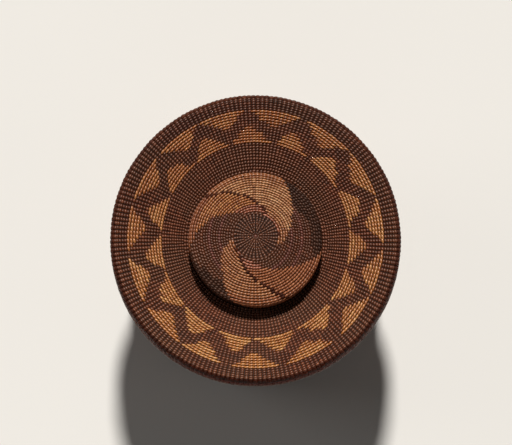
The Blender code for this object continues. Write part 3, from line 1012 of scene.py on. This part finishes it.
body = {
    "topRadius": 71.55 * mm,
    "cornerRadius": 65.5 * mm,
    "corner": 7.0 * mm,
    "cornerDeg": 88,
    "cornerSteps": 12,
    "swell": 1.0 * mm,
    "thickness": 2.1 * mm,
    "rowPitch": 1.4 * mm,
    "bands": (8, 44),                # row at which each band of triangles begins
    "pieces": 3,
    "warpDepths": (0.5 * mm, 1.55 * mm),
    "baseThickness": 2.0 * mm,
    "baseWarpDepths": (0.5 * mm, 1.5 * mm),
    "pushUp": 2.5 * mm,
    "warpSteps": ((5, 18), (9, 36), (15, 60), (22, 90), (32, 120), (46, 165), (99, 195)),
    "sideSeed": 51,
    "bandSeed": 52,
    "insideSeed": 53,
    "baseSeed": 61,
}
mouthBraid = {"width": 3.0 * mm, "warps": 138, "rows": 7, "kind": "plait", "seed": 71}
footCord = {"width": 3.4 * mm, "warps": 120, "rows": 6, "kind": "cord", "seed": 72}
cornerTop = baseNode["low"] + body["corner"]
wallTop = wallNode["high"]


def wallRadius(height):
    rise = (height - cornerTop) / (wallTop - cornerTop)
    swell = body["swell"] * 4 * rise * (1 - rise)
    return body["cornerRadius"] + (body["topRadius"] - body["cornerRadius"]) * rise + swell


def sideLine(depth):
    # from the mouth down to the start of the corner
    steps = outlineSteps["slope"]
    heights = [wallTop + (cornerTop - wallTop) * step / steps for step in range(steps + 1)]
    return [(wallRadius(height) - depth, height) for height in heights]


def cornerLine(depth):
    radius = body["corner"] - depth
    centre = (body["cornerRadius"] - body["corner"], cornerTop)
    return arcLine(centre, radius, 0, -body["cornerDeg"], body["cornerSteps"])


def baseHeight(radius):
    # flat over the foot cord, and pushed up inside it
    edge = baseNode["radius"] - footCord["width"]
    return baseNode["low"] + body["pushUp"] * max(1 - (radius / edge) ** 2, 0)


def makeWall():
    rng = random.Random(body["sideSeed"])
    outline = sideLine(0) + cornerLine(0)[1:]
    stations = stationsOn(outline, round(lineLength(outline) / body["rowPitch"]))
    gold = newWeave()
    share = math.ceil(len(stations) / body["pieces"])
    parts = [newWeave() for _ in range(body["pieces"])]
    turnWarps(parts[0], outline, body["warpDepths"])
    patterned = set()
    for band in body["bands"]:
        for ring in (innerRing, outerRing):
            rows = len(ring["counts"])
            bandRng = random.Random(body["bandSeed"] + band)
            triangleRows(parts[band // share], gold, stations[band:band + rows], ring, bandRng)
            patterned.update(range(band, band + rows))
            band += rows
    for row, station in enumerate(stations):
        if row not in patterned:
            plainRow(parts[row // share], station, rimWarps, "weft", rng)
    materials = [darkWeft, shadedWarpRods]
    for number, bm in enumerate(parts):
        finishPiece(bm, f"basketSide{number + 1}", materials, "basket", ["basket_wall"])
    finishPiece(gold, "basketTriangles", [goldGrass], "basket")


def makeWallInside():
    outline = (sideLine(body["thickness"]) + cornerLine(body["thickness"])[1:])[::-1]
    half = len(outline) // 2
    for number, line in enumerate((outline[:half + 1], outline[half:])):
        bm = newWeave()
        weaveInside(bm, line, body["warpSteps"], body["insideSeed"] + number)
        finishPiece(bm, f"basketInside{number + 1}", [innerWeft], "basket")


def makeBase():
    under = slopeLine(baseHeight, baseNode["radius"], inside["startRadius"])
    over = [(radius, height + body["baseThickness"]) for radius, height in under[::-1]]
    bm = newWeave()
    weaveInside(bm, under, body["warpSteps"], body["baseSeed"], "weft")
    turnWarps(bm, under, body["baseWarpDepths"])
    finishPiece(bm, "basketBase", [darkWeft, shadedWarpRods], "basket", ["basket_base"])
    bm = newWeave()
    weaveInside(bm, over, body["warpSteps"], body["baseSeed"] + 1)
    finishPiece(bm, "basketBaseInside", [innerWeft], "basket")


makeWall()
makeWallInside()
makeBase()
makeBraid(
    "basketRimBraid", "basket", "basket_rim_braid", rimBraidNode["radius"] - mouthBraid["width"], mouthBraid
)
makeBraid("basketFootCord", "basket", "basket_foot_ring", footNode["radius"] - footCord["width"], footCord)


# Pebbles, loose in the knob

pebbles = {
    "count": 5,
    "subdivisions": 3,
    "lump": 0.10,               # how far a pebble is out of round, as a share of its radius
    "lumpScale": 1.3,
    "smaller": 0.06,            # keeps the lumps within the frame's pebble
    "apart": 9,                 # keeps the lumps of two pebbles unlike
    "seed": 80,
}


def makePebbles():
    for number in range(1, pebbles["count"] + 1):
        rng = random.Random(pebbles["seed"] + number)
        nodeName = f"rattle_pebble_{number}"
        low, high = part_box(nodeName)
        centre, half = (low + high) / 2, (high - low) / 2
        bm = newWeave()
        bmesh.ops.create_icosphere(bm, subdivisions=pebbles["subdivisions"], radius=1, calc_uvs=True)
        value = rng.random()
        tone = bm.faces.layers.float["tone"]
        for face in bm.faces:
            face[tone] = value
        place = Vector((rng.random(), rng.random(), rng.random())) * pebbles["apart"]
        for vert in bm.verts:
            lump = pebbles["lump"] * noise.noise(vert.co * pebbles["lumpScale"] + place)
            grown = vert.co * (1 + lump - pebbles["smaller"])
            vert.co = centre + Vector(a * b for a, b in zip(grown, half))
        finishPiece(bm, f"pebble{number}", [greyStone], "pebbles", [nodeName], ())


makePebbles()


# Stage, lights and camera

stage = {"seen": (0.82, 0.815, 0.80), "bounced": (0.26, 0.255, 0.25), "size": 6.0, "roughness": 0.9}


def makeFloor():
    bm = bmesh.new()
    bmesh.ops.create_grid(bm, x_segments=2, y_segments=2, size=stage["size"])
    mesh = bpy.data.meshes.new("floor")
    bm.to_mesh(mesh)
    bm.free()
    floor = addObject("floor", mesh)
    material, nodes, links, shader = newMaterial("floorPaper")
    shader.inputs["Roughness"].default_value = stage["roughness"]
    shader.inputs["Specular IOR Level"].default_value = 0.0
    # pale where it is seen, itself or in a reflection, and dim where it only throws light back
    path = nodes.new("ShaderNodeLightPath")
    seen = path.outputs["Is Camera Ray"]
    for ray in ("Is Glossy Ray", "Is Transmission Ray"):
        seen = combine(nodes, links, "ShaderNodeMath", "MAXIMUM", seen, path.outputs[ray])
    colour = nodes.new("ShaderNodeMix")
    colour.data_type = "RGBA"
    colour.inputs["A"].default_value = (*stage["bounced"], 1.0)
    colour.inputs["B"].default_value = (*stage["seen"], 1.0)
    links.new(seen, colour.inputs["Factor"])
    links.new(colour.outputs["Result"], shader.inputs["Base Color"])
    mesh.materials.append(material)


softLamp = {"kind": "AREA", "distance": 2.4, "size": 1.2, "colour": (1.0, 0.97, 0.93)}
lamps = {
    "key": {"kind": "SUN", "azimuth": 1, "elevation": 51, "distance": 3.0, "size": 0.10, "power": 3.85,
            "colour": (1.0, 0.96, 0.90)},
    "left": {**softLamp, "azimuth": 285, "elevation": 26, "power": 5},
    "right": {**softLamp, "azimuth": 100, "elevation": 20, "power": 1.5},
    "front": {**softLamp, "azimuth": 180, "elevation": 8, "power": 3.5},
}
surroundings = {"colour": (1.0, 0.96, 0.91), "strength": 0.05}


def makeLamps():
    # azimuth runs clockwise from +Y, as seen from above
    aim = Vector((0, 0, crest))
    for name, look in lamps.items():
        data = bpy.data.lights.new(name, look["kind"])
        if look["kind"] == "SUN":
            data.angle = look["size"]
        else:
            data.shape = "SQUARE"
            data.size = look["size"]
        data.energy = look["power"]
        data.color = look["colour"]
        lamp = addObject(name, data)
        turn, tilt = math.radians(look["azimuth"]), math.radians(look["elevation"])
        away = Vector((math.sin(turn) * math.cos(tilt), math.cos(turn) * math.cos(tilt), math.sin(tilt)))
        lamp.location = aim + away * look["distance"]
        lamp.rotation_euler = away.to_track_quat("Z", "Y").to_euler()
    world = bpy.data.worlds.new("studio")
    bpy.context.scene.world = world
    world.use_nodes = True
    background = world.node_tree.nodes["Background"]
    background.inputs["Color"].default_value = (*surroundings["colour"], 1.0)
    background.inputs["Strength"].default_value = surroundings["strength"]


view = {
    "elevation": 81.5,
    "distance": 1.3,
    "pixel": 0.518 * mm,               # at the lid's crest
    "frame": (512, 445),
    "centre": (255.6, 237.4),          # pixel where the crest's centre falls
    "sensor": 36.0,
}


def makeCamera():
    data = bpy.data.cameras.new("camera")
    data.sensor_fit = "HORIZONTAL"
    data.sensor_width = view["sensor"]
    data.lens = view["sensor"] * view["distance"] / (view["frame"][0] * view["pixel"])
    camera = addObject("camera", data)
    tilt = math.radians(view["elevation"])
    back = Vector((0, -math.cos(tilt), math.sin(tilt)))
    up = Vector((0, math.sin(tilt), math.cos(tilt)))
    right = Vector((1, 0, 0))
    aside = (view["frame"][0] / 2 - view["centre"][0]) * view["pixel"]
    above = (view["centre"][1] - view["frame"][1] / 2) * view["pixel"]
    target = Vector((0, 0, crest)) + right * aside + up * above
    camera.location = target + back * view["distance"]
    camera.rotation_euler = (math.radians(90 - view["elevation"]), 0, 0)
    bpy.context.scene.camera = camera


makeFloor()
makeLamps()
makeCamera()
bpy.context.scene.view_settings.view_transform = "Standard"
report("stage, lamps and camera are set")
